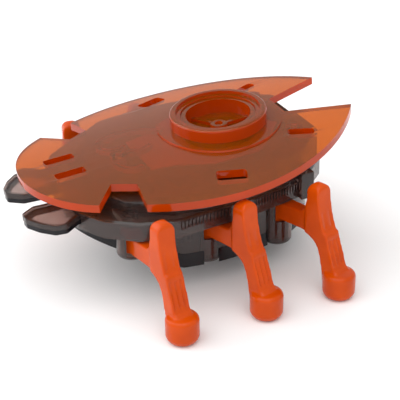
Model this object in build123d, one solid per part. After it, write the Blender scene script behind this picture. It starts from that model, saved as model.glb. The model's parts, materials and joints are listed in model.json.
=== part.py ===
from build123d import *
import math
import os

# Six-legged walking robot. Millimetres, +Z up, feet on z = 0, front towards -Y, robot's left = +X.
# Plan positions are measured from the middle of the drive; everything is moved by PLAN_SHIFT
# at the end, so that the origin is under the centre of the whole object.
PLAN_SHIFT = 3.624
FIT = 0.05            # radial clearance of a pin or shaft in its hole
SEAM = 0.1            # gap left between two fixed mouldings

# Cover: one cambered sheet, a round head joined to a lens-shaped back. It is drawn level about
# its own middle, then tipped nose-down by COVER_PITCH and moved forward by COVER_FORWARD.
COVER_TOP = 34.2
COVER_THICK = 2.0
COVER_PITCH = 4.5
COVER_FORWARD = 2.7
CAMBER_RADIUS = 170.0
HEAD_RADIUS = 24.1
HEAD_Y = -19.0
LENS_RADIUS = 51.0
LENS_HALF_WIDTH = 31.2
LENS_Y = 2.0
LENS_FRONT = -28.0
NOTCH_DEEP_FRONT = (14.1, -25.3)
NOTCH_DEEP_REAR = (17.1, -19.8)
NOTCH_OUT_FRONT = (24.3, -33.85)
NOTCH_OUT_REAR = (30.5, -21.75)
TAIL_TIP = (10.2, 43.4)
TAIL_ROOT = (4.4, 27.0)
RIB_DROP = 1.3
# Slots on the +X side: x, y, turn in degrees, width, length, corner radius
COVER_SLOTS = [(24.3, 1.7, -20.0, 3.8, 7.4, 0.9), (15.6, 25.4, -25.0, 2.6, 6.6, 0.8),
               (4.2, -31.8, 0.0, 2.8, 7.6, 0.5)]

# Round socket in the cover, with a cup in it
SOCKET_Y = 10.2
SOCKET_TOP = 37.8
SOCKET_OUTER = 12.4
SOCKET_INNER = 9.6
SOCKET_LIP = 10.8
FLANGE_RADIUS = 16.0

# Thin plate between deck and cover, and the round boss behind it
PAD_THICK = 0.35
REAR_BOSS_Y = 27.6
REAR_BOSS_RADIUS = 4.6
PAD_HALF = [(8.5, -12.5), (9.5, -7.0), (12.0, -2.2), (14.5, 1.8), (14.7, 14.0), (9.6, 20.0),
            (3.0, 25.5)]

# Curled ribs under the front of the cover, as centre lines
CURL_LEFT = [(-5.6, -3.5), (-9.8, -7.6), (-11.4, -11.5), (-10.5, -17.0), (-8.2, -20.2),
             (-5.0, -20.3), (-3.0, -17.8), (-3.6, -14.5)]
CURL_RIGHT = [(-0.6, -8.8), (0.7, -12.5), (0.2, -16.5), (1.0, -19.0), (4.5, -19.9),
              (7.7, -18.2), (8.1, -14.5)]
RIB_WIDTH = 1.2

# Body mouldings, from the bottom up
HULL_A = 21.0
HULL_B = 33.0
HULL_Y = -1.7
HULL_BOTTOM = 7.5
HULL_TOP = 20.2
HULL_WALL = 1.4
RAMP_START = -12.0
RAMP_SLOPE = 0.4
COVER_BAND = 3.8
SKIRT_BOTTOM = 20.4
SKIRT_TOP = 25.2
DECK_TOP = 29.9       # under the middle of the cover; the deck's top is tipped with the cover
WALL = 1.4
CORNER_BOX = (18.6, 22.8, 19.2, 22.6)     # boxes at the skirt's rear corners: x and y limits
SKIRT_HALF = [(11.5, -36.0), (19.0, -32.0), (24.5, -25.0), (26.8, -16.0), (25.8, -8.0), (25.2, -2.0),
              (24.4, 5.0), (22.8, 13.0), (20.8, 21.0), (12.0, 30.5)]
DECK_HALF = [(9.0, -30.5), (17.5, -25.9), (24.2, -16.2), (24.8, -8.0), (24.4, -2.0), (23.6, 5.0),
             (22.0, 13.0), (20.0, 20.5), (12.0, 29.5)]

# Ribbed strips along the skirt, from start to end
STRIP_PITCH = 0.9
STRIPS = [((26.8, -16.0), (25.8, -8.0)), ((25.8, -8.0), (25.2, -2.0)), ((24.4, 5.0), (22.8, 13.0)),
          ((22.8, 13.0), (20.8, 21.0))]
DOOR_SCREW_Y = 0.2
DOOR_HALF = [(11.5, -10.5), (11.5, 2.5)]

# Front lobes: a smoked plate on a dark rim, both held in the skirt's front wall
LOBE = [(2.4, -29.3), (3.2, -35.3), (3.4, -44.3), (6.0, -47.9), (8.8, -47.8), (12.4, -45.7),
        (15.4, -42.7), (15.7, -39.7), (12.6, -35.7), (11.8, -29.3)]
LOBE_BOTTOM = 21.9
LOBE_MIDDLE = 23.25
LOBE_TOP = 24.5
TRAY_RIM = 1.3
BAR = (-5.5, 5.5, -33.5, -29.5)     # the bar that joins the lobes inside the skirt: x and y limits

# Legs, swung about vertical hip pins
HIP_X = 17.5
HIP_PITCH = 19.85
HIP_Y = [-24.5, -24.5 + HIP_PITCH, -24.5 + 2 * HIP_PITCH]
LEG_NAMES = ["front", "middle", "rear"]
# Degrees that each leg points back at rest, front to rear. The two sides are caught in the middle
# of a step, so on the right the outer legs point further back and the middle leg less.
TRAIL = {1: [9.5, 17.0, 18.0], -1: [11.5, 9.5, 27.0]}
BARREL_RADIUS = 2.75
PIN_RADIUS = 0.8
PIN_TOP = 24.6
POCKET_OUTER = 3.8
POCKET_INNER = 3.05
POCKET_BOTTOM = [13.4, 7.6, 7.6]
POCKET_FLOOR = 1.3
BARREL_TOP = 20.2
CRANK_TOP = 21.6
CRANK_ARM = 4.0
LEG_WIDTH = 4.8
WEB_WIDTH = 3.8
LEG_REACH = 21.3
FOOT_RADIUS = 4.1

# Drive: motor, two reductions, an eccentric, a rocker and one sliding plate on each side
MODULE = 0.5
PRESSURE_ANGLE = math.radians(25)
BACKLASH = 0.08
WHEEL_TEETH = 30
PINION_TEETH = 10
GEAR_DISTANCE = MODULE * (WHEEL_TEETH + PINION_TEETH) / 2
CRANK_Y = -3.0
IDLER_Y = CRANK_Y + GEAR_DISTANCE
MOTOR_Y = IDLER_Y + GEAR_DISTANCE
AXLE_RADIUS = 0.75
AXLE_TOP = 28.6
ROCKER_Y = -12.0
AXLES_Y = [CRANK_Y, IDLER_Y, ROCKER_Y]
ROCKER_ARM = 9.6
ROCKER_SWING = 5.0    # degrees each way
ECCENTRIC_RADIUS = 2.5
FRAME_BOTTOM = 18.8
FRAME_TOP = 20.2
PLATE_BOTTOM = 22.0
PLATE_TOP = 23.2
ROCKER_BOTTOM = 23.5
ROCKER_TOP = 24.5
LOW_GEAR = 24.7       # underside of the crank wheel
HIGH_GEAR = 26.1      # underside of the idler wheel
GEAR_THICK = 1.2
MOTOR_RADIUS = 6.0
SHAFT_RADIUS = 0.5
MOTOR_BOTTOM = 11.2
MOTOR_TOP = 23.2

PLATE_PLAN = [(12.0, -27.3), (17.8, -27.1), (20.0, -22.0), (22.6, -12.0), (22.9, -2.0), (21.8, 4.0),
              (20.0, 11.0), (19.7, 18.0), (12.0, 18.0), (12.0, -6.0), (10.9, -9.6), (8.2, -9.6),
              (8.2, -14.4), (12.0, -14.4)]

# Screws, cells, switch and board
COVER_SCREWS = [(0.0, -20.0), (11.5, 23.0), (-11.5, 23.0)]
HOUSING_SCREWS = [(13.6, -18.5), (-13.6, -18.5), (15.6, 7.5), (-15.6, 7.5)]
SCREW_RADIUS = 0.9
HEAD_SCREW = 1.7
PEG_RADIUS = 2.2      # round the cover's screws
POST_RADIUS = 2.0     # round the housing screws
CELL_RADIUS = 5.8
CELL_THICK = 5.4
CELL_BOTTOM = 9.5
SWITCH_Y = 17.5
CELLS = [(-6.1, -7.0), (6.1, -7.0), (0.0, 3.6)]
BOARD_BOTTOM = 9.6


def slab(sketch, low, high):
    """A flat sketch raised between two heights."""
    return extrude(Pos(0, 0, low) * sketch, amount=high - low)


def disc(x, y, radius, low, high):
    return slab(Pos(x, y) * Circle(radius), low, high)


def outline(half):
    """A closed plan outline from its +X half."""
    other = [(-x, y) for x, y in reversed(half)]
    return Polygon(*(half + other), align=None)


def block(x0, x1, y0, y1, z0, z1):
    centre = Pos((x0 + x1) / 2, (y0 + y1) / 2, (z0 + z1) / 2)
    return centre * Box(x1 - x0, y1 - y0, z1 - z0)


def both(part):
    """The part and its mirror image on the other side of the robot."""
    return part + mirror(part, about=Plane.YZ)


def group(pieces):
    """Separate solids that are kept together as one node."""
    result = pieces[0]
    for piece in pieces[1:]:
        result += piece
    return result


def tip(part):
    """Moves a piece drawn level with the cover into the cover's tipped place."""
    return Pos(0, -COVER_FORWARD, COVER_TOP) * Rot(COVER_PITCH, 0, 0) * Pos(0, 0, -COVER_TOP) * part


def under_cover(x, y, depth):
    """Height of the point at x, y that lies depth below the cover's top face."""
    rise = (y + COVER_FORWARD) * math.tan(math.radians(COVER_PITCH))
    return COVER_TOP + rise - x * x / (2 * CAMBER_RADIUS) - depth


def save(name, part):
    solids = Pos(0, PLAN_SHIFT, 0) * part
    export_step(solids, f"parts/{name}.step")


# ---------------------------------------------------------------- cover

def camber_layer(depth_low, depth_high):
    """The space between two depths below the cover's curved top face."""
    tube = Cylinder(CAMBER_RADIUS - depth_low, 120) - Cylinder(CAMBER_RADIUS - depth_high, 120)
    tube = Pos(0, 0, COVER_TOP - CAMBER_RADIUS) * Rot(90, 0, 0) * tube
    return tube & block(-60, 60, -60, 60, COVER_TOP - 12, COVER_TOP + 1)


def cover_outline():
    head = Pos(0, HEAD_Y) * Circle(HEAD_RADIUS)
    shift = LENS_RADIUS - LENS_HALF_WIDTH
    lens = (Pos(-shift, LENS_Y) * Circle(LENS_RADIUS)) & (Pos(shift, LENS_Y) * Circle(LENS_RADIUS))
    lens -= Pos(0, LENS_FRONT - 20) * Rectangle(120, 40)
    shape = head + lens
    notch = Polygon(NOTCH_DEEP_FRONT, NOTCH_OUT_FRONT, NOTCH_OUT_REAR, NOTCH_DEEP_REAR, align=None)
    shape -= notch
    shape -= mirror(notch, about=Plane.YZ)
    shape -= outline([TAIL_ROOT, TAIL_TIP, (12.0, 60.0)])
    return shape


def cover_slots():
    """The slots through the cover, three on each side."""
    slots = [Pos(x, y) * Rot(0, 0, turn) * RectangleRounded(width, length, corner)
             for x, y, turn, width, length, corner in COVER_SLOTS]
    return both(slab(slots[0] + slots[1] + slots[2], COVER_TOP - 6, COVER_TOP + 2))


def cover_ribs():
    """Ribs under the cover: two curled ones in front, and one beside each edge of the tail."""
    curls = trace(Spline(*CURL_LEFT), RIB_WIDTH) + trace(Spline(*CURL_RIGHT), RIB_WIDTH)
    inner = Line(TAIL_ROOT, TAIL_TIP)
    side = inner % 0
    across = Vector(side.Y, -side.X)
    tail = Polygon(inner @ 0, inner @ 1, inner @ 1 + across * 2.4, inner @ 0 + across * 2.4, align=None)
    tail = tail + mirror(tail, about=Plane.YZ)
    ribs = slab(curls + (tail & cover_outline()), COVER_TOP - 6, COVER_TOP)
    return ribs & camber_layer(COVER_THICK - 0.2, COVER_THICK + RIB_DROP)


def deck_space(drop=0.0):
    """All the space below the deck's tipped top face, or drop further down."""
    return tip(slab(Rectangle(150, 150), -20, DECK_TOP - drop))


def add_pegs(cover):
    """Pegs that stand on the deck and take the cover's screws from below."""
    for x, y in COVER_SCREWS:
        peg = disc(x, y, PEG_RADIUS, 20, under_cover(x, y, COVER_THICK / 2))
        cover += peg - deck_space()
    for x, y in COVER_SCREWS:
        cover -= disc(x, y, SCREW_RADIUS, 20, under_cover(x, y, 0.9))
    return cover


def make_cover():
    sheet = slab(cover_outline(), COVER_TOP - 8, COVER_TOP + 1) & camber_layer(0, COVER_THICK)
    flange = disc(0, SOCKET_Y, FLANGE_RADIUS, COVER_TOP - 6, COVER_TOP + 1)
    flange &= camber_layer(-0.5, COVER_THICK)
    collar = disc(0, SOCKET_Y, SOCKET_OUTER, COVER_TOP - COVER_THICK, SOCKET_TOP)
    collar = fillet(collar.edges().group_by(Axis.Z)[-1], 0.7)
    cover = sheet + flange + collar + cover_ribs()
    cover -= disc(0, SOCKET_Y, SOCKET_LIP, SOCKET_TOP - 0.8, SOCKET_TOP + 1)
    cover -= disc(0, SOCKET_Y, SOCKET_INNER, COVER_TOP - 8, SOCKET_TOP + 1)
    return add_pegs(tip(cover - cover_slots()))


def make_cup():
    """The cup dropped into the socket, with a hub and three ribs on its floor."""
    outer = SOCKET_INNER - SEAM
    bottom = COVER_TOP - 2.8
    floor = bottom + 1.4
    cup = disc(0, SOCKET_Y, outer, bottom, SOCKET_TOP - 1.2)
    cup -= disc(0, SOCKET_Y, outer - 1.2, floor, SOCKET_TOP)
    cup += disc(0, SOCKET_Y, 2.2, floor - 0.1, floor + 1.1) - disc(0, SOCKET_Y, 1.0, floor + 0.2, floor + 2)
    for turn in (90, 210, 330):
        rib = Rot(0, 0, turn) * block(2.0, outer - 1.0, -0.5, 0.5, floor - 0.1, floor + 0.8)
        cup += Pos(0, SOCKET_Y, 0) * rib
    return tip(cup)


def make_pad():
    """The thin plate between deck and cover, under the socket."""
    pad = slab(outline(PAD_HALF), DECK_TOP, DECK_TOP + PAD_THICK)
    pad -= disc(0, SOCKET_Y, SOCKET_INNER + SEAM, DECK_TOP - 1, DECK_TOP + 2)
    return tip(pad - disc(0, REAR_BOSS_Y, REAR_BOSS_RADIUS + SEAM, 0, 40))


# ---------------------------------------------------------------- body mouldings

def hull_solid(inset):
    """The hull's space, an ellipse in plan with a ramp under its front, reduced by inset."""
    plan = Pos(0, HULL_Y) * Ellipse(HULL_A - inset, HULL_B - inset)
    solid = slab(plan, HULL_BOTTOM + inset, HULL_TOP)
    far = -80.0
    ramp = Polygon((RAMP_START, HULL_BOTTOM - 1 + inset), (RAMP_START, HULL_BOTTOM + inset),
                   (far, HULL_BOTTOM + inset + (RAMP_START - far) * RAMP_SLOPE),
                   (far, HULL_BOTTOM - 1 + inset), align=None)
    return solid - extrude(Plane.YZ * ramp, amount=60, both=True)


def hips():
    """Every hip: side (+1 left, -1 right), row, x and y."""
    return [(side, row, side * HIP_X, HIP_Y[row]) for side in (1, -1) for row in range(3)]


def pocket_space(radius, extra):
    """Round pockets about the six hips, from their own bottoms up to the hull's top."""
    return [disc(x, y, radius, POCKET_BOTTOM[row] + extra, HULL_TOP) for side, row, x, y in hips()]


def leg_window(side, row):
    """The opening in a hip pocket through which the leg comes out and swings."""
    plan = Polygon((0, -2.4), (9, -4.6), (9, 4.6), (0, 2.4), align=None)
    hole = Rot(0, 0, TRAIL[side][row]) * slab(plan, 14.4, HULL_TOP + 1)
    if side < 0:
        hole = mirror(hole, about=Plane.YZ)
    return Pos(side * HIP_X, HIP_Y[row], 0) * hole


def make_hull():
    """The smoked lower housing, with a closed pocket round each hip."""
    hull = hull_solid(0) & (Pos(0, 0, COVER_BAND + SEAM) * hull_solid(0))
    hull -= hull_solid(HULL_WALL)
    room = hull_solid(HULL_WALL - 0.3) & (Pos(0, 0, COVER_BAND + SEAM) * hull_solid(0))
    for x, y in HOUSING_SCREWS:
        inner = 1.4 * x
        web = block(min(x, inner), max(x, inner), y - 0.6, y + 0.6, 0, HULL_TOP - SEAM)
        hull += (disc(x, y, POST_RADIUS, 0, HULL_TOP - SEAM) + web) & room
    for side, row, x, y in hips():
        bottom = POCKET_BOTTOM[row]
        pocket = fillet(disc(x, y, POCKET_OUTER, bottom, HULL_TOP).edges().group_by(Axis.Z)[0], 1.2)
        if row == 0:
            pocket += block(min(x, 0.72 * x), max(x, 0.72 * x), y - 1.2, y + 1.2, 18.4, HULL_TOP)
        hull += pocket
    for side, row, x, y in hips():
        bottom = POCKET_BOTTOM[row]
        hull -= disc(x, y, POCKET_INNER, bottom + POCKET_FLOOR, HULL_TOP + 1)
        hull -= disc(x, y, PIN_RADIUS, bottom + 0.4, HULL_TOP)
        hull -= leg_window(side, row)
    for x, y in HOUSING_SCREWS:
        hull -= disc(x, y, SCREW_RADIUS, 0, HULL_TOP - 1.5)
    return hull


def hull_floor(y):
    """Height of the inside of the hull's floor."""
    rise = max(0.0, (RAMP_START - y) * RAMP_SLOPE)
    return HULL_BOTTOM + HULL_WALL + rise


def make_bottom():
    """The dark bottom cover, with the battery opening and the switch slot."""
    bottom = hull_solid(0) - Pos(0, 0, COVER_BAND) * hull_solid(0)
    bottom -= hull_solid(HULL_WALL)
    for space in pocket_space(POCKET_OUTER + SEAM, -2):
        bottom -= space
    bottom -= slab(outline(DOOR_HALF), 0, 12)
    for x, y in HOUSING_SCREWS:
        bottom -= disc(x, y, SCREW_RADIUS + FIT, 0, 20)
        bottom -= disc(x, y, HEAD_SCREW + FIT, 0, hull_floor(y) - 0.6)
    bottom -= block(-3.6, 3.6, SWITCH_Y - 1.6, SWITCH_Y + 1.6, 0, 12)
    return bottom


def make_door():
    door = slab(offset(outline(DOOR_HALF), -SEAM), HULL_BOTTOM, HULL_BOTTOM + 1.3)
    for step in range(5):
        y = -8.6 + 0.9 * step
        door -= block(-4, 4, y, y + 0.4, 0, HULL_BOTTOM + 0.3)
    door -= disc(0, DOOR_SCREW_Y, SCREW_RADIUS + FIT, 0, 20)
    return door - disc(0, DOOR_SCREW_Y, HEAD_SCREW + FIT, 0, HULL_BOTTOM + 0.7)


def strip_band(start, end):
    """Fine upright ribs moulded along one stretch of the skirt."""
    line = Vector(*end) - Vector(*start)
    along = line.normalized()
    out = Vector(along.Y * -1, along.X) * -1
    count = int(line.length / STRIP_PITCH)
    points = []
    for step in range(count):
        for share, height in ((0.0, 0.15), (0.45, 0.15), (0.5, 0.55), (0.95, 0.55)):
            place = Vector(*start) + line * ((step + share) / count) + out * height
            points.append((place.X, place.Y))
    for corner in (Vector(*end) - out, Vector(*start) - out):
        points.append((corner.X, corner.Y))
    return slab(Polygon(*points, align=None), SKIRT_TOP - 2.6, SKIRT_TOP - 0.6)


def make_upper():
    """The smoked upper housing: a wide skirt under a smaller deck, open underneath."""
    skirt_plan = outline(SKIRT_HALF)
    deck_plan = outline(DECK_HALF)
    skirt = slab(skirt_plan, SKIRT_BOTTOM, SKIRT_TOP)
    body = chamfer(skirt.edges().group_by(Axis.Z)[-1], 0.5)
    body += slab(deck_plan, SKIRT_TOP - 0.6, 40) & deck_space()
    body -= slab(offset(skirt_plan, -WALL), 0, SKIRT_TOP - WALL)
    body -= slab(offset(deck_plan, -WALL), 0, 40) & deck_space(WALL)
    for start, end in STRIPS:
        body += both(strip_band(start, end))
    body += both(block(*CORNER_BOX, SKIRT_BOTTOM, DECK_TOP - 2.5))
    body += tip(disc(0, REAR_BOSS_Y, REAR_BOSS_RADIUS, DECK_TOP - 3, DECK_TOP + 0.35))
    roof = deck_space(WALL / 2)
    for side, row, x, y in hips():
        body += disc(x, y, 1.9, SKIRT_TOP - 1.7, SKIRT_TOP if row == 0 else 40) & roof
    for y in AXLES_Y:
        body += disc(0, y, 1.5, 27.5, 40) & roof
    for side, row, x, y in hips():
        body -= disc(x, y, PIN_RADIUS, 0, PIN_TOP)
    for y in AXLES_Y:
        body -= disc(0, y, AXLE_RADIUS, 0, AXLE_TOP)
    for x, y in COVER_SCREWS:
        body -= disc(x, y, SCREW_RADIUS + FIT, 20, 40)
    body -= pincer_layer(-SEAM, LOBE_BOTTOM - SEAM, LOBE_TOP + SEAM)
    return body - block(BAR[0] - SEAM, BAR[1] + SEAM, BAR[2] - SEAM, BAR[3] + SEAM,
                        LOBE_BOTTOM - SEAM, LOBE_TOP + SEAM)


def pincer_layer(inset, low, high):
    """One layer of the two lobes and of the bar that joins them inside the skirt."""
    lobe = Polygon(*LOBE, align=None)
    lobe = fillet(lobe.vertices().filter_by_position(Axis.Y, -50, -36), 1.6)
    if inset:
        lobe = offset(lobe, -inset)
    bar = block(*BAR, low, high)
    return both(slab(lobe, low, high)) + bar


def make_pincers():
    """Two flat lobes that stand out in front: a smoked plate with a raised rim on a dark tray."""
    top = pincer_layer(0, LOBE_MIDDLE, LOBE_TOP)
    top -= pincer_layer(0.9, LOBE_TOP - 0.3, LOBE_TOP + 1) - block(-30, 30, -34, 0, 0, 40)
    tray = pincer_layer(0.25, LOBE_BOTTOM, LOBE_MIDDLE)
    tray -= pincer_layer(TRAY_RIM, 0, 40) - block(-30, 30, -36, 0, 0, 40)
    return top, tray


def make_frame():
    """The inner frame that carries the motor and the axles."""
    plan = Polygon((-9.0, -24.0), (9.0, -24.0), (12.0, -14.0), (12.0, 12.0), (8.0, 23.0), (-8.0, 23.0),
                   (-12.0, 12.0), (-12.0, -14.0), align=None)
    frame = slab(plan, FRAME_BOTTOM, FRAME_TOP)
    frame -= disc(0, MOTOR_Y, MOTOR_RADIUS + SEAM, 0, 30)
    for x, y in HOUSING_SCREWS:
        frame -= disc(x, y, POST_RADIUS + 0.1, 0, 30)
    for y in AXLES_Y:
        frame += disc(0, y, 1.8, FRAME_TOP, ROCKER_BOTTOM - 0.15 if y == ROCKER_Y else 22.5)
    for y in AXLES_Y:
        frame -= disc(0, y, AXLE_RADIUS, FRAME_BOTTOM + 0.4, 30)
    return frame


# ---------------------------------------------------------------- legs

def leg_profile():
    """The leg's side view: distance from the hip axis, and height."""
    edge = Polyline((0, 15.0), (6.0, 15.0))
    edge += Spline((6.0, 15.0), (12.0, 14.8), (15.2, 13.0), (16.7, 9.5), (17.5, 5.0),
                   tangents=[(1, 0), (0.15, -1)])
    edge += Polyline((17.5, 5.0), (17.8, 3.0), (22.5, 3.0), (22.4, 7.5))
    edge += Spline((22.4, 7.5), (20.9, 9.8), (19.6, 13.4), (18.6, 16.6), tangents=[(-1, 0.2), (-0.35, 1)])
    edge += Polyline((18.6, 16.6), (17.9, 16.9))
    edge += Spline((17.9, 16.9), (16.6, 20.6), (15.7, 26.4), tangents=[(-0.45, 1), (-0.05, 1)])
    edge += Spline((15.7, 26.4), (13.8, 28.6), (11.9, 26.4), tangents=[(0, 1), (0, -1)])
    edge += Spline((11.9, 26.4), (11.75, 23.6), (10.1, 20.5), (6.5, 19.8), tangents=[(0, -1), (-1, 0)])
    edge += Polyline((6.5, 19.8), (0, 19.8), (0, 15.0))
    return make_face(edge)


def make_leg(side, row):
    """One leg, moulded in one piece with its hip barrel, crank and foot."""
    profile = Plane.XZ * leg_profile()
    body = extrude(profile, amount=LEG_WIDTH / 2, both=True)
    front_view = Pos(0, 26.2) * Circle(LEG_WIDTH / 2) + Pos(0, 14) * Rectangle(LEG_WIDTH, 24.4)
    body &= extrude(Plane.YZ * front_view, amount=40)
    web_cut = block(-1, 11.4, WEB_WIDTH / 2, 5, 0, 30)
    body -= web_cut
    body -= mirror(web_cut, about=Plane.XZ)
    for y, low, high in groove_places():
        body -= groove(y, low, high)
    foot = Polygon((0, 0), (2.6, 0), (3.5, 0.5), (FOOT_RADIUS, 1.6), (FOOT_RADIUS, 6.2),
                   (FOOT_RADIUS - 0.5, 6.9), (0, 7.2), align=None)
    body += Pos(LEG_REACH, 0, 0) * revolve(Plane.XZ * foot, Axis.Z)
    body = Rot(0, 0, TRAIL[side][row]) * body
    bottom = POCKET_BOTTOM[row] + POCKET_FLOOR + 0.15
    body += disc(0, 0, BARREL_RADIUS, bottom, BARREL_TOP)
    body += disc(0, 0, 2.3, BARREL_TOP, CRANK_TOP)
    reach = CRANK_ARM if row == 1 else -CRANK_ARM
    arm = block(min(0, reach), max(0, reach), -1.4, 1.4, SKIRT_BOTTOM + 0.2, CRANK_TOP)
    arm += disc(reach, 0, 1.4, SKIRT_BOTTOM + 0.2, CRANK_TOP)
    body += arm + disc(reach, 0, PIN_RADIUS, CRANK_TOP, PLATE_TOP - 0.1)
    body -= disc(0, 0, PIN_RADIUS + FIT, 0, 40)
    if side < 0:
        body = mirror(body, about=Plane.YZ)
    return Pos(side * HIP_X, HIP_Y[row], 0) * body


def groove_places():
    """Grooves in the leg's outer face: two short ones above the knee, three long ones below."""
    upper = [(y, 17.6, 21.6) for y in (-1.1, 1.1)]
    lower = [(y, 8.6, 15.2) for y in (-1.4, 0.0, 1.4)]
    return upper + lower


def outer_face(height):
    """Distance of the leg's outer face from the hip axis, above and below the knee."""
    if height > 17:
        return 17.9 - (height - 16.9) * 0.28
    return 18.6 + (16.6 - height) * 0.33


def groove(y, low, high):
    top, foot = outer_face(high), outer_face(low)
    side = Polygon((foot - 0.5, low), (foot + 4, low), (top + 4, high), (top - 0.5, high), align=None)
    return Pos(0, y + 0.35, 0) * extrude(Plane.XZ * side, amount=0.7)


def make_hip_pins():
    pins = [disc(x, y, PIN_RADIUS, POCKET_BOTTOM[row] + 0.4, PIN_TOP) for side, row, x, y in hips()]
    return group(pins)


# ---------------------------------------------------------------- drive

def hole_slot(x, y, length_x, length_y):
    return Pos(x, y) * RectangleRounded(length_x, length_y, min(length_x, length_y) / 2 - 0.02)


def make_drive_plate(side):
    """The sliding plate whose slots take the legs' crank pins and the rocker's pin."""
    plate = Polygon(*PLATE_PLAN, align=None)
    plate = fillet(plate.vertices(), 0.8)
    travel = ROCKER_ARM * math.sin(math.radians(ROCKER_SWING))
    width = 2 * (PIN_RADIUS + FIT)
    for row, y in enumerate(HIP_Y):
        reach = CRANK_ARM if row == 1 else -CRANK_ARM
        plate -= hole_slot(HIP_X, y, width + 0.1, width + 2 * travel + 0.3)
        plate -= hole_slot(HIP_X + reach, y, width + 0.5, width + 0.05)
    plate -= hole_slot(ROCKER_ARM, ROCKER_Y, width + 0.3, width + 0.05)
    plate = slab(plate, PLATE_BOTTOM, PLATE_TOP)
    return plate if side > 0 else mirror(plate, about=Plane.YZ)


def make_rocker():
    """The rocker: a cross bar with a pin at each end and a fork round the eccentric."""
    bar = hole_slot(0, ROCKER_Y, 2 * ROCKER_ARM + 3.4, 3.4)
    fork_inner = ECCENTRIC_RADIUS + 2 * eccentricity() + 0.15
    fork = Pos(0, -7.0) * Rectangle(2 * fork_inner + 3.0, 12.0)
    fork -= Pos(0, -3.5) * Rectangle(2 * fork_inner, 6.4)
    fork = fork & (Pos(0, -7.0) * Rectangle(40, 12.0))
    rocker = slab(bar + fork, ROCKER_BOTTOM, ROCKER_TOP)
    for x in (-ROCKER_ARM, ROCKER_ARM):
        rocker += disc(x, ROCKER_Y, PIN_RADIUS, PLATE_BOTTOM + 0.1, ROCKER_BOTTOM)
    return rocker - disc(0, ROCKER_Y, AXLE_RADIUS + FIT, 0, 40)


def eccentricity():
    return (CRANK_Y - ROCKER_Y) * math.sin(math.radians(ROCKER_SWING))


def involute(base, radius):
    """Polar angle of an involute of the given base circle at a radius."""
    across = math.sqrt(max(radius * radius / (base * base) - 1, 0.0))
    return across - math.atan(across)


def gear_plan(teeth, turn):
    """A gear's outline with stub involute teeth; turn is the angle of a tooth's middle."""
    pitch = MODULE * teeth / 2
    base = pitch * math.cos(PRESSURE_ANGLE)
    tip = pitch + 0.8 * MODULE
    root = pitch - 1.1 * MODULE
    half = math.pi / (2 * teeth) + involute(base, pitch) - BACKLASH / (2 * pitch)
    start = max(root, base)
    radii = [start + (tip - start) * step / 4 for step in range(5)]
    flank = [(radius, half - involute(base, radius)) for radius in radii]
    if root < base:
        flank.insert(0, (root, half))
    points = []
    for tooth in range(teeth):
        middle = turn + 2 * math.pi * tooth / teeth
        sides = [(radius, middle - angle) for radius, angle in flank]
        sides += [(radius, middle + angle) for radius, angle in reversed(flank)]
        points += [(radius * math.cos(angle), radius * math.sin(angle)) for radius, angle in sides]
    return Polygon(*points, align=None)


def gear(teeth, y, low, facing_rear, tall=GEAR_THICK):
    """A gear on the centre line with a tooth towards the next gear, or a gap towards the last."""
    turn = math.pi / 2 if facing_rear else math.pi / 2 + math.pi / teeth + math.pi
    return slab(Pos(0, y) * gear_plan(teeth, turn), low, low + tall)


def spokes(y, inner, outer, low, high):
    holes = [Rot(0, 0, 60 * step) * disc((inner + outer) / 2, 0, (outer - inner) / 2, low, high)
             for step in range(6)]
    return [Pos(0, y, 0) * hole for hole in holes]


def make_crank_gear():
    """The last wheel, with the eccentric that works the rocker's fork."""
    wheel = gear(WHEEL_TEETH, CRANK_Y, LOW_GEAR, True)
    for hole in spokes(CRANK_Y, 3.9, 6.1, LOW_GEAR - 1, LOW_GEAR + 3):
        wheel -= hole
    wheel += disc(eccentricity(), CRANK_Y, ECCENTRIC_RADIUS, ROCKER_BOTTOM, LOW_GEAR)
    return wheel - disc(0, CRANK_Y, AXLE_RADIUS + FIT, 0, 40)


def make_idler_gear():
    """The middle gear: a small pinion under a large wheel."""
    pinion = gear(PINION_TEETH, IDLER_Y, LOW_GEAR, False, HIGH_GEAR - LOW_GEAR)
    wheel = gear(WHEEL_TEETH, IDLER_Y, HIGH_GEAR, True)
    for hole in spokes(IDLER_Y, 3.9, 6.1, HIGH_GEAR - 1, HIGH_GEAR + 3):
        wheel -= hole
    return pinion + wheel - disc(0, IDLER_Y, AXLE_RADIUS + FIT, 0, 40)


def make_motor_pinion():
    pinion = gear(PINION_TEETH, MOTOR_Y, HIGH_GEAR - 0.2, False, GEAR_THICK + 0.4)
    return pinion - disc(0, MOTOR_Y, SHAFT_RADIUS, 0, 40)


def make_axles():
    return group([disc(0, y, AXLE_RADIUS, FRAME_BOTTOM + 0.4, AXLE_TOP) for y in AXLES_Y])


def make_motor_can():
    can = disc(0, MOTOR_Y, MOTOR_RADIUS, MOTOR_BOTTOM + 1.2, MOTOR_TOP)
    can = fillet(can.edges().group_by(Axis.Z)[-1], 0.8)
    can += disc(0, MOTOR_Y, 2.0, MOTOR_TOP - 0.1, MOTOR_TOP + 0.8)
    return can - disc(0, MOTOR_Y, SHAFT_RADIUS + FIT, 0, 40)


def make_motor_end():
    end = disc(0, MOTOR_Y, MOTOR_RADIUS - 0.2, MOTOR_BOTTOM, MOTOR_BOTTOM + 1.2)
    return end - disc(0, MOTOR_Y, SHAFT_RADIUS + FIT, MOTOR_BOTTOM + 0.4, 40)


def make_motor_shaft():
    return disc(0, MOTOR_Y, SHAFT_RADIUS, MOTOR_BOTTOM + 0.6, HIGH_GEAR + GEAR_THICK + 0.3)


# ---------------------------------------------------------------- power

def make_cells():
    cells = []
    for x, y in CELLS:
        can = disc(x, y, CELL_RADIUS, CELL_BOTTOM, CELL_BOTTOM + CELL_THICK - 0.6)
        can += disc(x, y, CELL_RADIUS - 0.8, CELL_BOTTOM + CELL_THICK - 0.6, CELL_BOTTOM + CELL_THICK)
        cells.append(can)
    return group(cells)


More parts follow.
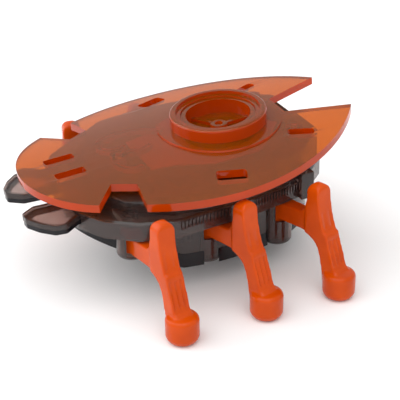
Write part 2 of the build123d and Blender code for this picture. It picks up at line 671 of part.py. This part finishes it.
def make_contacts():
    """Sprung strips over and under the cells, joined to the circuit board."""
    top = CELL_BOTTOM + CELL_THICK
    over = slab(Polygon((-8.0, -9.0), (-4.0, -9.0), (2.0, 4.0), (-2.0, 4.0), align=None), top, top + 0.3)
    right = slab(Polygon((4.0, -9.0), (8.0, -9.0), (8.0, 9.6), (4.0, 9.6), (4.0, -1.0), align=None),
                 top, top + 0.3)
    over -= slab(Polygon((3.9, -20), (20, -20), (20, 20), (3.9, 20), align=None), 0, 30)
    right += block(4.5, 7.5, 9.3, 9.6, BOARD_BOTTOM + 1.0, top + 0.3)
    return group([over, right])


def make_board():
    board = slab(Pos(0, 16.3) * Rectangle(16.0, 13.6), BOARD_BOTTOM, BOARD_BOTTOM + 1.0)
    board = board & hull_solid(HULL_WALL + 0.4)
    for side, row, x, y in hips():
        board -= disc(x, y, POCKET_OUTER + 0.3, 0, 30)
    for x, y in HOUSING_SCREWS:
        board -= disc(x, y, POST_RADIUS + 0.2, 0, 30)
    chip = block(-7.2, -6.4, 12.0, 15.0, BOARD_BOTTOM + 1.0, BOARD_BOTTOM + 1.8)
    return board + chip


def make_switch_body():
    body = block(-3.4, 3.4, SWITCH_Y - 1.5, SWITCH_Y + 1.5, HULL_BOTTOM + 0.5, BOARD_BOTTOM)
    return body - block(-2.4, 2.4, SWITCH_Y - 0.8, SWITCH_Y + 0.8, 0, BOARD_BOTTOM - 0.4)


def make_switch_slider():
    knob = block(-2.3, 0.3, SWITCH_Y - 0.7, SWITCH_Y + 0.7, HULL_BOTTOM - 0.7, BOARD_BOTTOM - 0.5)
    for x in (-1.9, -1.2, -0.5):
        knob -= block(x, x + 0.3, SWITCH_Y - 1, SWITCH_Y + 1, 0, HULL_BOTTOM - 0.4)
    return knob


def screw(x, y, head_low, length):
    """A cross-head screw with its head at the bottom."""
    head = disc(x, y, HEAD_SCREW, head_low, head_low + 1.0)
    head += disc(x, y, SCREW_RADIUS, head_low + 1.0, head_low + length)
    for turn in (0, 90):
        cross = Rot(0, 0, turn) * block(-1.0, 1.0, -0.2, 0.2, 0, 0.45)
        head -= Pos(x, y, head_low) * cross
    return head


def make_housing_screws():
    heads = [(x, y, hull_floor(y) - 1.6) for x, y in HOUSING_SCREWS]
    return group([screw(x, y, low, HULL_TOP - 1.6 - low) for x, y, low in heads])


def make_cover_screws():
    screws = []
    for x, y in COVER_SCREWS:
        low = under_cover(x, y, COVER_TOP - DECK_TOP) - WALL - 1.3
        screws.append(screw(x, y, low, under_cover(x, y, 1.0) - low))
    return group(screws)


def make_door_screw():
    return screw(0, DOOR_SCREW_Y, HULL_BOTTOM - 0.3, 1.9)


os.makedirs("parts", exist_ok=True)
pincer_top, pincer_tray = make_pincers()
save("shell_cover", make_cover())
save("socket_cup", make_cup())
save("socket_pad", make_pad())
save("upper_housing", make_upper())
save("lower_housing", make_hull())
save("bottom_cover", make_bottom())
save("battery_door", make_door())
save("front_pincers", pincer_top)
save("pincer_tray", pincer_tray)
save("inner_frame", make_frame())
for side, word in ((1, "left"), (-1, "right")):
    for row, place in enumerate(LEG_NAMES):
        save(f"leg_{word}_{place}", make_leg(side, row))
    save(f"drive_plate_{word}", make_drive_plate(side))
save("rocker", make_rocker())
save("crank_gear", make_crank_gear())
save("idler_gear", make_idler_gear())
save("motor_pinion", make_motor_pinion())
save("motor_shaft", make_motor_shaft())
save("motor_can", make_motor_can())
save("motor_end", make_motor_end())
save("hip_pins", make_hip_pins())
save("gear_axles", make_axles())
save("button_cells", make_cells())
save("battery_contacts", make_contacts())
save("circuit_board", make_board())
save("switch_body", make_switch_body())
save("switch_slider", make_switch_slider())
save("housing_screws", make_housing_screws())
save("cover_screws", make_cover_screws())
save("door_screw", make_door_screw())
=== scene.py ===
"""Looks of the six-legged walking robot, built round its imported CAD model."""
import json
import math

import bpy
from mathutils import Matrix, Vector

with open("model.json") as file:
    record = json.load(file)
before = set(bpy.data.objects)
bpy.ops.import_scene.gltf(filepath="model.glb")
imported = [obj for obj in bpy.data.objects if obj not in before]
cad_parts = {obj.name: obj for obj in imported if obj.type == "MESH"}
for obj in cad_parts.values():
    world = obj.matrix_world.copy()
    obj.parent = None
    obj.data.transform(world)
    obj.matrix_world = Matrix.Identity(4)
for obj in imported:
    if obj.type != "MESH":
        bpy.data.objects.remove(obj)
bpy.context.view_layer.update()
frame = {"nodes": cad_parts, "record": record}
NODES = frame["nodes"]
MM = 0.001


# ---------------------------------------------------------------- camera
CAMERA_PLACE = Vector((266.2, -117.5, 167.7)) * MM
CAMERA_AZIMUTH = math.radians(65.2)
CAMERA_ELEVATION = math.radians(27.7)
CAMERA_ROLL = math.radians(-0.94)
CAMERA_LENS = 114.2
CAMERA_SENSOR = 36.0


def make_camera():
    """The camera of the main view: three-quarter front, slightly above."""
    data = bpy.data.cameras.new("camera")
    data.lens = CAMERA_LENS
    data.sensor_width = CAMERA_SENSOR
    data.clip_start = 0.01
    data.clip_end = 50.0
    camera = bpy.data.objects.new("camera", data)
    bpy.context.scene.collection.objects.link(camera)
    flat = math.cos(CAMERA_ELEVATION)
    back = Vector((
        math.sin(CAMERA_AZIMUTH) * flat,
        -math.cos(CAMERA_AZIMUTH) * flat,
        math.sin(CAMERA_ELEVATION),
    ))
    turn = (-back).to_track_quat("-Z", "Y") @ Matrix.Rotation(CAMERA_ROLL, 3, "Z").to_quaternion()
    camera.location = CAMERA_PLACE
    camera.rotation_mode = "QUATERNION"
    camera.rotation_quaternion = turn
    bpy.context.scene.camera = camera


# ---------------------------------------------------------------- light and floor
ROOM_STRENGTH = 0.72
LAMP_TARGET = Vector((0.0, 0.0, 0.02))
# Softboxes: name, place and side in metres, power in watts
SOFTBOXES = [
    ("key", (0.35, -0.35, 0.95), 1.4, 9.0),
    ("fill", (-0.55, -0.75, 0.55), 1.0, 6.0),
]
FLOOR_HALF = 4.0
PAPER_WHITE = (0.92, 0.92, 0.92, 1.0)


def make_world():
    """An even white room: most of the light comes from all round."""
    world = bpy.data.worlds.new("room")
    world.use_nodes = True
    tree = world.node_tree
    back = tree.nodes["Background"]
    back.inputs["Color"].default_value = (1.0, 1.0, 1.0, 1.0)
    back.inputs["Strength"].default_value = ROOM_STRENGTH
    bpy.context.scene.world = world


def make_softbox(name, place, side, power):
    """One soft square lamp that looks at the robot."""
    data = bpy.data.lights.new(name, "AREA")
    data.shape = "RECTANGLE"
    data.size = side
    data.size_y = side
    data.energy = power
    lamp = bpy.data.objects.new(name, data)
    bpy.context.scene.collection.objects.link(lamp)
    lamp.location = place
    lamp.rotation_mode = "QUATERNION"
    lamp.rotation_quaternion = (LAMP_TARGET - Vector(place)).to_track_quat("-Z", "Y")


def make_floor():
    """A pale sheet that the robot stands on."""
    mesh = bpy.data.meshes.new("floor")
    half = FLOOR_HALF
    corners = [(-half, -half, 0), (half, -half, 0), (half, half, 0), (-half, half, 0)]
    mesh.from_pydata(corners, [], [(0, 1, 2, 3)])
    floor = bpy.data.objects.new("floor", mesh)
    bpy.context.scene.collection.objects.link(floor)
    material = bpy.data.materials.new("paper")
    material.use_nodes = True
    shader = material.node_tree.nodes["Principled BSDF"]
    shader.inputs["Base Color"].default_value = PAPER_WHITE
    shader.inputs["Roughness"].default_value = 0.9
    mesh.materials.append(material)


# ---------------------------------------------------------------- materials
# FACING also sets where the painted wall shade of the clear plastics fades into their level faces
FACING = (0.35, 0.85)     # where a surface turns from a side wall into a level face
PLASTIC_IOR = 1.5
GRAIN_MM = 0.35


class Shader:
    """A material with its principled shader and short ways to add nodes."""

    def __init__(self, name):
        self.material = bpy.data.materials.new(name)
        self.material.use_nodes = True
        self.tree = self.material.node_tree
        self.surface = self.tree.nodes["Principled BSDF"]
        self.output = self.tree.nodes["Material Output"]
        coordinates = self.tree.nodes.new("ShaderNodeTexCoord")
        self.place = coordinates.outputs["Object"]
        self.facing = coordinates.outputs["Normal"]

    def set(self, **values):
        """Numbers and colours that are the same all over the surface."""
        for name, value in values.items():
            socket = self.surface.inputs[name.replace("_", " ")]
            socket.default_value = (*value, 1.0) if isinstance(value, tuple) else value

    def link(self, a, b):
        self.tree.links.new(a, b)

    def noise(self, size_mm, detail=3.0, stretch=(1.0, 1.0, 1.0)):
        """Cloudy noise whose lumps are about size_mm across."""
        mapping = self.tree.nodes.new("ShaderNodeMapping")
        mapping.inputs["Scale"].default_value = stretch
        node = self.tree.nodes.new("ShaderNodeTexNoise")
        node.inputs["Scale"].default_value = 1000.0 / size_mm
        node.inputs["Detail"].default_value = detail
        self.link(self.place, mapping.inputs["Vector"])
        self.link(mapping.outputs["Vector"], node.inputs["Vector"])
        return node.outputs["Fac"]

    def ramp(self, value, low, high, at=(0.35, 0.65)):
        """A colour that runs from low to high as value crosses the two places."""
        node = self.tree.nodes.new("ShaderNodeValToRGB")
        for stop, place, colour in zip(node.color_ramp.elements, at, (low, high)):
            stop.position = place
            stop.color = (*colour, 1.0) if isinstance(colour, tuple) else (colour,) * 3 + (1.0,)
        self.link(value, node.inputs["Fac"])
        return node.outputs["Color"]

    def add(self, a, b):
        """The sum of two numbers."""
        node = self.tree.nodes.new("ShaderNodeMath")
        node.operation = "ADD"
        self.link(a, node.inputs[0])
        self.link(b, node.inputs[1])
        return node.outputs["Value"]

    def multiply(self, a, b):
        """One colour seen through another."""
        node = self.tree.nodes.new("ShaderNodeVectorMath")
        node.operation = "MULTIPLY"
        self.link(a, node.inputs[0])
        self.link(b, node.inputs[1])
        return node.outputs["Vector"]

    def level(self):
        """How level the surface is: 1 on level faces, 0 on upright side walls."""
        split = self.tree.nodes.new("ShaderNodeSeparateXYZ")
        size = self.tree.nodes.new("ShaderNodeMath")
        size.operation = "ABSOLUTE"
        self.link(self.facing, split.inputs["Vector"])
        self.link(split.outputs["Z"], size.inputs[0])
        return size.outputs["Value"]

    def bump(self, height, depth_mm, strength):
        """Fine relief on the surface."""
        node = self.tree.nodes.new("ShaderNodeBump")
        node.inputs["Strength"].default_value = strength
        node.inputs["Distance"].default_value = depth_mm * MM
        self.link(height, node.inputs["Height"])
        self.link(node.outputs["Normal"], self.surface.inputs["Normal"])

    def absorb(self, colour, density):
        """Clear stuff that takes up light along the way through it."""
        node = self.tree.nodes.new("ShaderNodeVolumeAbsorption")
        node.inputs["Color"].default_value = (*colour, 1.0)
        node.inputs["Density"].default_value = density
        self.link(node.outputs["Volume"], self.output.inputs["Volume"])


def clear_plastic(name, film, colour, density, roughness, clearness, ior=PLASTIC_IOR,
                  painted_wall_shade=None, painted_wall_clearness=None):
    """Clear moulded plastic, tinted through its thickness, with faint handling scratches.

    Upright walls may get painted shade: a deeper colour and less clearness than level faces, set by which way
    the surface faces, standing in for the longer path of light through the plastic seen edge-on.
    """
    s = Shader(name)
    s.set(Transmission_Weight=clearness, IOR=ior)
    cloud = s.noise(14.0)
    scratch = s.noise(0.7, 6.0, (1.0, 0.06, 1.0))
    rubbed = s.add(cloud, scratch)
    deeper = tuple(part * 0.92 for part in film)
    tint = s.ramp(cloud, deeper, film, (0.3, 0.7))
    # painted shade: upright walls are tinted deeper and made less clear by their facing, standing in for
    # light seen edge-on through the plastic
    if painted_wall_shade:
        level = s.level()
        tint = s.multiply(tint, s.ramp(level, painted_wall_shade, (1.0, 1.0, 1.0), FACING))
        clear = s.ramp(level, painted_wall_clearness, clearness, FACING)
        s.link(clear, s.surface.inputs["Transmission Weight"])
    s.link(tint, s.surface.inputs["Base Color"])
    s.link(s.ramp(rubbed, roughness, roughness * 3.0, (0.9, 1.0)), s.surface.inputs["Roughness"])
    s.bump(s.add(s.noise(5.0, 1.0), s.ramp(scratch, 0.0, 0.2, (0.55, 0.75))), 0.02, 0.25)
    s.absorb(colour, density)
    return s.material


def moulded_plastic(name, colour, shade, roughness, subsurface=0.0, specular=0.5):
    """Opaque moulded plastic with slow colour drift, rubbed spots and a fine surface grain."""
    s = Shader(name)
    drift = s.noise(9.0, 4.0)
    rubbed = s.noise(2.2, 5.0)
    s.link(s.ramp(drift, shade, colour), s.surface.inputs["Base Color"])
    s.link(s.ramp(rubbed, roughness * 0.8, roughness * 1.5), s.surface.inputs["Roughness"])
    s.set(IOR=PLASTIC_IOR, Specular_IOR_Level=specular)
    if subsurface:
        s.set(Subsurface_Weight=subsurface, Subsurface_Scale=0.0015)
        s.surface.inputs["Subsurface Radius"].default_value = (1.0, 0.35, 0.1)
    s.bump(s.noise(GRAIN_MM, 2.0), 0.01, 0.3)
    return s.material


def metal(name, colour, shade, roughness, brushed=(1.0, 1.0, 1.0)):
    """Metal with brushed streaks and slightly dull patches."""
    s = Shader(name)
    streak = s.noise(0.6, 5.0, brushed)
    patch = s.noise(3.0, 4.0)
    s.link(s.ramp(patch, shade, colour), s.surface.inputs["Base Color"])
    worn = s.ramp(s.add(streak, patch), roughness * 0.7, roughness * 1.6, (0.8, 1.0))
    s.link(worn, s.surface.inputs["Roughness"])
    s.set(Metallic=1.0)
    s.bump(streak, 0.01, 0.3)
    return s.material


FINISHES = {
    # clear_orange and smoke carry painted shade on their upright walls: a deeper tint and less clearness
    # there
    "clear_orange": clear_plastic("clear_orange", (0.66, 0.165, 0.001), (0.93, 0.52, 0.10), 280.0, 0.03, 0.82,
                                  ior=1.38, painted_wall_shade=(1.0, 0.38, 0.3), painted_wall_clearness=0.4),
    "orange_plate": clear_plastic("orange_plate", (0.95, 0.14, 0.01), (0.92, 0.45, 0.14), 250.0, 0.05, 0.3),
    "smoke": clear_plastic("smoke", (0.50, 0.36, 0.32), (0.46, 0.38, 0.36), 420.0, 0.06, 0.95,
                           painted_wall_shade=(0.55, 0.5, 0.5), painted_wall_clearness=0.9),
    "dark_smoke": clear_plastic("dark_smoke", (0.012, 0.010, 0.013), (0.25, 0.22, 0.25), 1500.0, 0.07, 0.4,
                                ior=1.35),
    "leg_orange": moulded_plastic("leg_orange", (0.60, 0.068, 0.001), (0.50, 0.053, 0.001), 0.15,
                                  subsurface=0.12, specular=0.2),
    "natural_plastic": moulded_plastic("natural_plastic", (0.72, 0.70, 0.64), (0.66, 0.63, 0.56), 0.35,
                                       subsurface=0.1),
    "black_plastic": moulded_plastic("black_plastic", (0.02, 0.02, 0.022), (0.03, 0.03, 0.03), 0.4),
    "brass": metal("brass", (0.75, 0.52, 0.22), (0.62, 0.42, 0.17), 0.25),
    "steel": metal("steel", (0.62, 0.62, 0.63), (0.5, 0.5, 0.52), 0.2, (0.1, 1.0, 1.0)),
    "motor_steel": metal("motor_steel", (0.55, 0.55, 0.56), (0.42, 0.42, 0.44), 0.28, (1.0, 0.08, 1.0)),
    "cell_steel": metal("cell_steel", (0.7, 0.7, 0.7), (0.6, 0.6, 0.6), 0.18),
    "spring_metal": metal("spring_metal", (0.7, 0.66, 0.55), (0.6, 0.56, 0.46), 0.25),
    "board": moulded_plastic("board", (0.02, 0.16, 0.05), (0.015, 0.11, 0.04), 0.3),
    "screw_steel": metal("screw_steel", (0.5, 0.5, 0.5), (0.36, 0.36, 0.37), 0.3),
}


# ---------------------------------------------------------------- softened mouldings
WELD_GAP = 0.002 * MM
SOFT_EDGE = 0.12 * MM
SHARP = math.radians(35.0)
FLAT_FACE_WEIGHT = 80
LEG_CELL = 0.2 * MM
LEG_PASSES = 30


def soften_edges(node, width):
    """Rounds a moulding's corners a little, as a real mould does, without moving its faces."""
    weld = node.modifiers.new("weld", "WELD")
    weld.merge_threshold = WELD_GAP
    bevel = node.modifiers.new("soft_edge", "BEVEL")
    bevel.width = width
    bevel.segments = 2
    bevel.limit_method = "ANGLE"
    bevel.angle_limit = SHARP
    bevel.use_clamp_overlap = True
    even = node.modifiers.new("even_normals", "WEIGHTED_NORMAL")
    even.weight = FLAT_FACE_WEIGHT
    even.keep_sharp = False


def melt_shape(node, cell, passes):
    """Gives a solid moulding the rounded, flowing surface of a soft injection-moulded part."""
    weld = node.modifiers.new("weld", "WELD")
    weld.merge_threshold = WELD_GAP
    grid = node.modifiers.new("even_skin", "REMESH")
    grid.mode = "VOXEL"
    grid.voxel_size = cell
    grid.use_smooth_shade = True
    smooth = node.modifiers.new("flow", "SMOOTH")
    smooth.factor = 0.5
    smooth.iterations = passes


# Mouldings with softened edges, each with its edge width in SOFT_EDGE
SOFTENED = {
    "shell_cover": 2.0, "socket_cup": 1.5, "upper_housing": 1.2, "lower_housing": 1.0, "bottom_cover": 1.5,
    "front_pincers": 1.5, "pincer_tray": 1.5, "battery_door": 1.0, "switch_slider": 1.0,
}


def dress_nodes():
    """Gives each CAD node the material of its slot in the record; the pad is a milkier orange."""
    slots = {part["node"]: part["material_slot"] for part in frame["record"]["subparts"]}
    slots["socket_pad"] = "orange_plate"
    for name, node in NODES.items():
        node.data.materials.clear()
        node.data.materials.append(FINISHES[slots[name]])
        if name.startswith("leg_"):
            melt_shape(node, LEG_CELL, LEG_PASSES)
        elif name in SOFTENED:
            soften_edges(node, SOFTENED[name] * SOFT_EDGE)


make_camera()
make_world()
for name, place, side, power in SOFTBOXES:
    make_softbox(name, place, side, power)
make_floor()
dress_nodes()
bpy.context.scene.view_settings.view_transform = "Standard"
